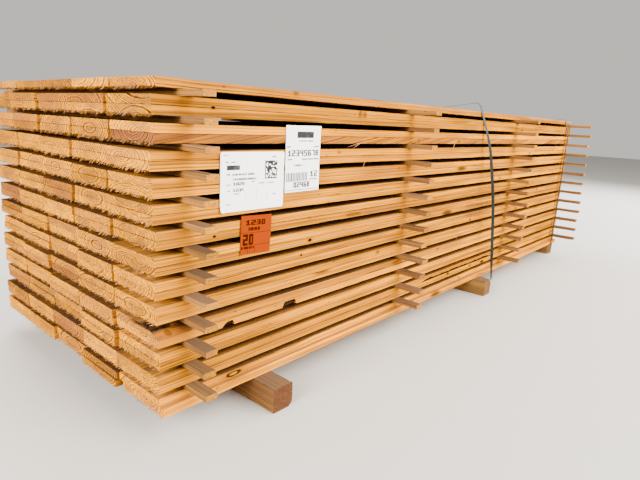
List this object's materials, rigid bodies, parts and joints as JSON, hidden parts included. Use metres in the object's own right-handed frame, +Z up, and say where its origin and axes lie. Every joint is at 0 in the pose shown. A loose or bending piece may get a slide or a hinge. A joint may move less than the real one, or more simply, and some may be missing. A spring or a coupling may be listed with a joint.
{
  "type": "stack of lumber",
  "caption": "Bundle of sawn softwood boards in courses kept apart by sticks, standing on bearers and strapped round, with labels on one long side.",
  "frame": {"origin": "on the floor, at the middle of the overall length and width", "axes": "+X along the boards, away from the end nearer the labels; +Y across the boards, away from the labelled long side; +Z up"},
  "size_m": [3.026, 1.2895, 0.9171],
  "materials": {
    "board_wood": "rough sawn",
    "sticker_wood": "rough sawn, weathered",
    "bearer_wood": "rough sawn, weathered",
    "strap_plastic": "satin",
    "label_white": "matte printed sheet",
    "label_orange": "matte printed sheet"
  },
  "bodies": {
    "root": {"board_layer_01": "board_wood", "board_layer_02": "board_wood", "board_layer_03": "board_wood", "board_layer_04": "board_wood", "board_layer_05": "board_wood", "board_layer_06": "board_wood", "board_layer_07": "board_wood", "board_layer_08": "board_wood", "board_layer_09": "board_wood", "board_layer_10": "board_wood", "board_layer_11": "board_wood", "board_layer_12": "board_wood", "board_layer_13": "board_wood", "board_layer_14": "board_wood", "board_layer_15": "board_wood", "board_layer_16": "board_wood", "board_layer_17": "board_wood", "board_layer_18": "board_wood", "board_layer_19": "board_wood", "board_layer_20": "board_wood", "board_layer_21": "board_wood", "board_layer_22": "board_wood", "board_layer_23": "board_wood", "board_layer_24": "board_wood", "board_layer_25": "board_wood", "board_layer_26": "board_wood", "board_layer_27": "board_wood", "sticker_column_1": "sticker_wood", "sticker_column_2": "sticker_wood", "sticker_column_3": "sticker_wood", "sticker_column_4": "sticker_wood", "bearer_near": "bearer_wood", "bearer_middle": "bearer_wood", "bearer_far": "bearer_wood", "strap_middle": "strap_plastic", "strap_far": "strap_plastic", "label_wide": "label_white", "label_tall": "label_white", "label_orange": "label_orange"}
  },
  "joints": []
}
